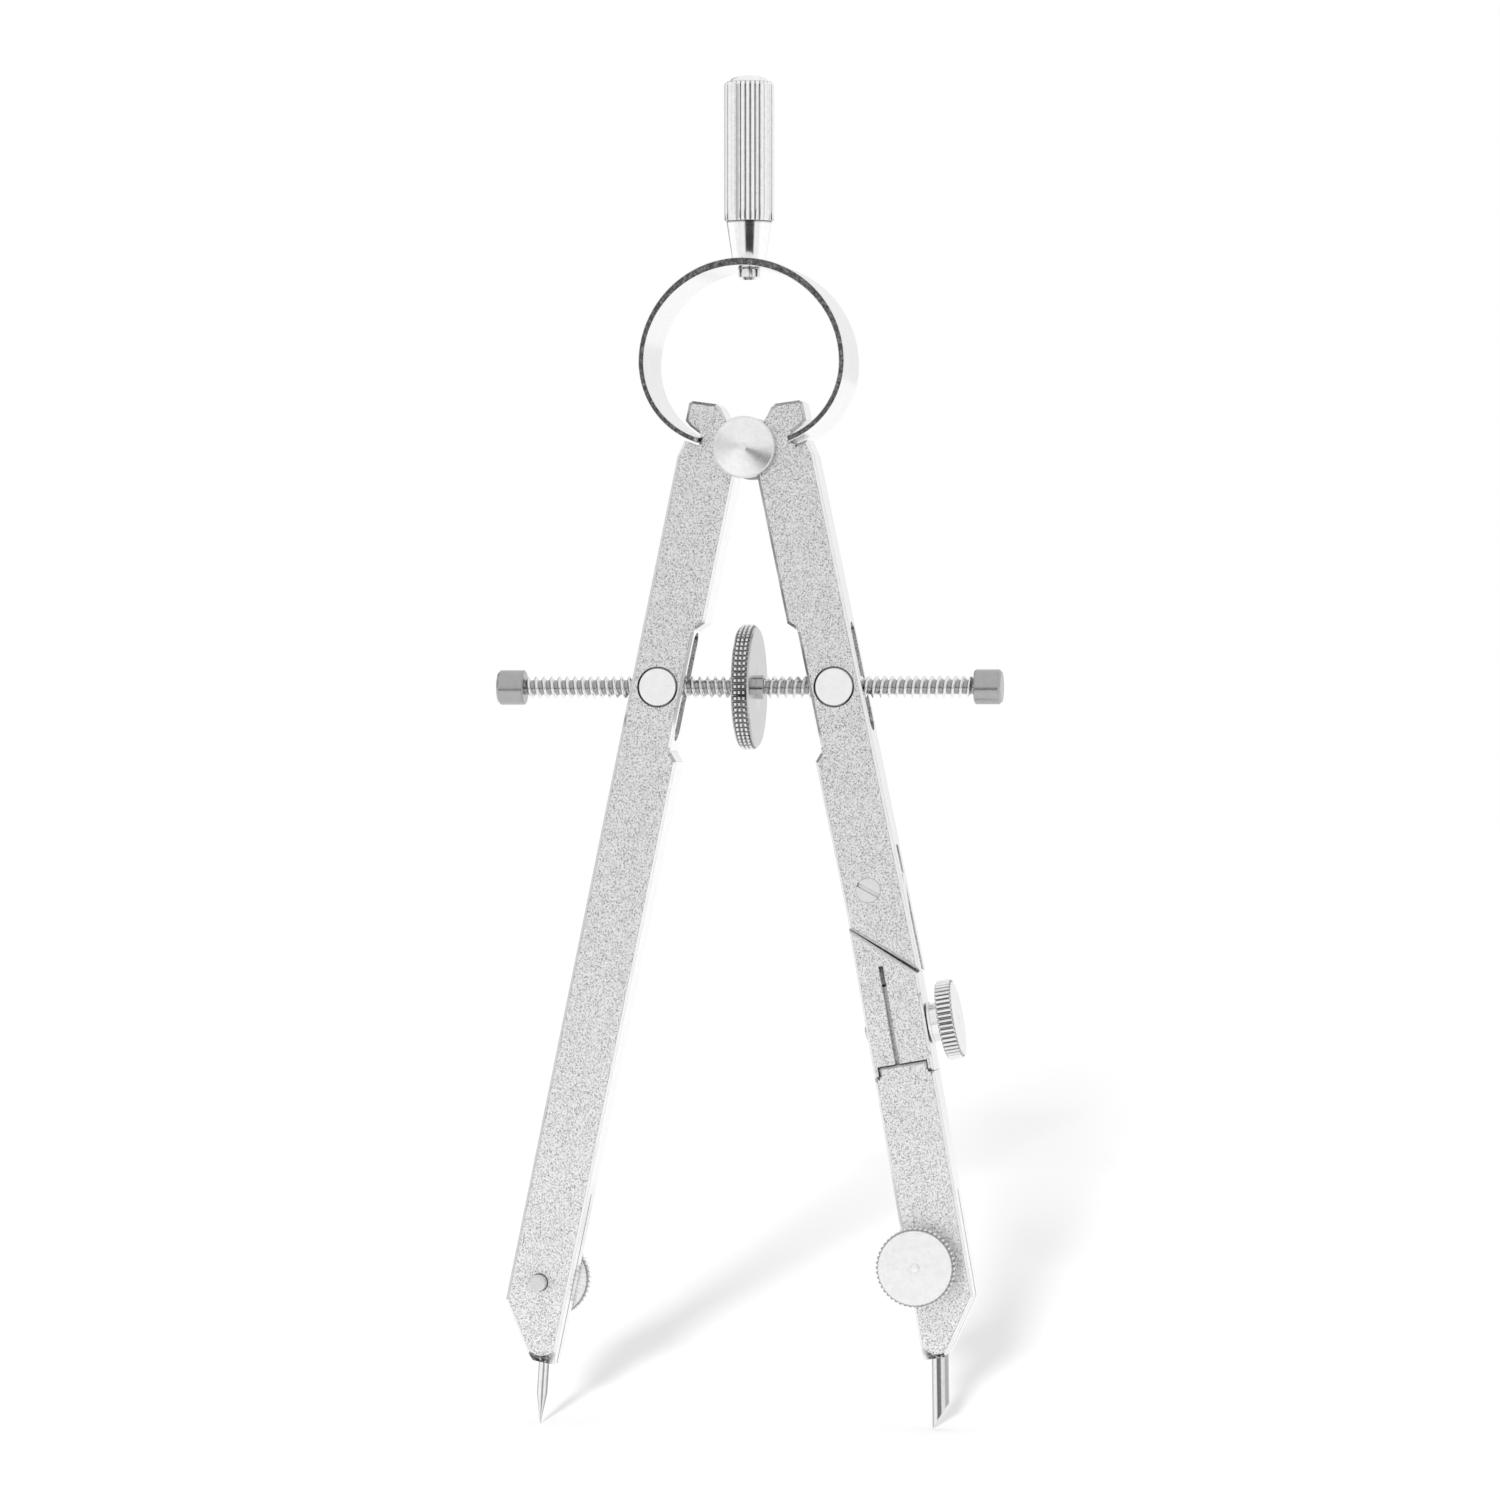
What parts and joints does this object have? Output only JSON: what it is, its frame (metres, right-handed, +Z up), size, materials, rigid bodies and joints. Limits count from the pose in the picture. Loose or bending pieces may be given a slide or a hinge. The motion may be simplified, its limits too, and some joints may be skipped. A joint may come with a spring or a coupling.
{
  "type": "drawing compass",
  "caption": "Spring-bow drawing compass with a needle leg, a jointed pencil leg with clamped lead insert, a flat ring spring, fluted handle and centre-wheel screw.",
  "frame": {"origin": "on the paper plane straight below the handle and the hinge, where the needle point touches at height 0", "axes": "+Z up along the handle, +X from the needle leg to the pencil leg along the adjusting screw, front face towards -Y"},
  "size_m": [0.06, 0.0148, 0.1589],
  "materials": {
    "polished_grip": "polished nickel with fine lengthwise flutes",
    "polished_steel": "bright polished nickel plate",
    "satin_nickel": "finely blasted satin faces with polished bevels and sides",
    "spring_steel": "polished band with brushed edges",
    "thread_steel": "plated rolled thread",
    "knurled_chrome": "nickel plate, knurled rim",
    "needle_steel": "ground and polished",
    "graphite": "dark grey pencil lead with a slight sheen"
  },
  "bodies": {
    "head": {"handle_grip": "polished_grip", "handle_rivet": "polished_steel", "spring_ring": "spring_steel", "hinge_roller": "polished_steel", "hinge_pin": "polished_steel", "hinge_front_flange": "polished_steel", "hinge_rear_flange": "polished_steel"},
    "left_leg": {"needle_leg": "satin_nickel"},
    "right_leg": {"pencil_leg": "satin_nickel", "knee_screw": "polished_steel"},
    "left_nut": {"left_swivel_nut": "polished_steel"},
    "right_nut": {"right_swivel_nut": "polished_steel"},
    "screw_carriage": {"spindle_core": "polished_steel"},
    "adjusting_screw": {"left_screw": "thread_steel", "right_screw": "thread_steel", "centre_wheel": "knurled_chrome", "left_end_cap": "polished_steel", "right_end_cap": "polished_steel"},
    "socket": {"socket_block": "satin_nickel"},
    "socket_clamp": {"socket_clamp_knob": "knurled_chrome", "socket_clamp_stud": "thread_steel"},
    "insert": {"lead_insert": "satin_nickel"},
    "lead_clamp": {"lead_clamp_knob": "knurled_chrome", "lead_clamp_stud": "thread_steel"},
    "lead": {"lead": "graphite"},
    "needle_clamp": {"needle_clamp_knob": "knurled_chrome", "needle_clamp_stud": "thread_steel"},
    "needle": {"needle": "needle_steel"}
  },
  "joints": [
    {"name": "left_leg_open", "type": "hinge", "parent": "head", "child": "left_leg", "pos_m": [0, 0, 0.1151], "axis": [0, 1, 0], "range_deg": [-10.5, 22], "deforming": ["spring_ring"]},
    {"name": "right_leg_open", "type": "hinge", "parent": "head", "child": "right_leg", "pos_m": [0, 0, 0.1151], "axis": [0, 1, 0], "range_deg": [-22, 10.5], "deforming": ["spring_ring"]},
    {"name": "left_nut_swivel", "type": "hinge", "parent": "left_leg", "child": "left_nut", "pos_m": [-0.01049, 0, 0.08699], "axis": [0, 1, 0], "range_deg": [-22, 10.5]},
    {"name": "right_nut_swivel", "type": "hinge", "parent": "right_leg", "child": "right_nut", "pos_m": [0.01049, 0, 0.08699], "axis": [0, 1, 0], "range_deg": [-10.5, 22]},
    {"name": "screw_travel", "type": "slide", "parent": "left_nut", "child": "screw_carriage", "axis": [1, 0, 0], "range_m": [-0.0049, 0.01023]},
    {"name": "wheel_spin", "type": "hinge", "parent": "screw_carriage", "child": "adjusting_screw", "pos_m": [0, 0, 0.08699], "axis": [1, 0, 0], "range_deg": [-1878.5, 3936]},
    {"name": "knee_bend", "type": "hinge", "parent": "right_leg", "child": "socket", "pos_m": [0.01455, 0, 0.06317], "axis": [0, 1, 0], "range_deg": [-1.8, 38]},
    {"name": "socket_clamp_turn", "type": "hinge", "parent": "socket", "child": "socket_clamp", "pos_m": [0.02146, 0, 0.04763], "axis": [0.9851, 0, 0.1719], "range_deg": [0, 540]},
    {"name": "insert_pull", "type": "slide", "parent": "socket", "child": "insert", "axis": [0.1719, 0, -0.9851], "range_m": [0, 0.01]},
    {"name": "lead_clamp_turn", "type": "hinge", "parent": "insert", "child": "lead_clamp", "pos_m": [0.02055, 0, 0.0193], "axis": [0, -1, 0], "range_deg": [0, 540]},
    {"name": "lead_slide", "type": "slide", "parent": "insert", "child": "lead", "axis": [0.0122, 0, -0.9999], "range_m": [-0.002, 0.006]},
    {"name": "needle_clamp_turn", "type": "hinge", "parent": "left_leg", "child": "needle_clamp", "pos_m": [-0.02464, 0, 0.01685], "axis": [0, 1, 0], "range_deg": [0, 540]},
    {"name": "needle_slide", "type": "slide", "parent": "left_leg", "child": "needle", "axis": [-0.0645, 0, -0.9979], "range_m": [-0.0004, 0.005]}
  ],
  "couplings": [
    {"joint": "right_leg_open", "follows": "left_leg_open", "ratio": -1},
    {"joint": "left_nut_swivel", "follows": "left_leg_open", "ratio": -1},
    {"joint": "right_nut_swivel", "follows": "left_leg_open", "ratio": 1},
    {"joint": "screw_travel", "follows": "left_leg_open", "m_per_rad": 0.026643},
    {"joint": "wheel_spin", "follows": "left_leg_open", "ratio": 178.85}
  ]
}
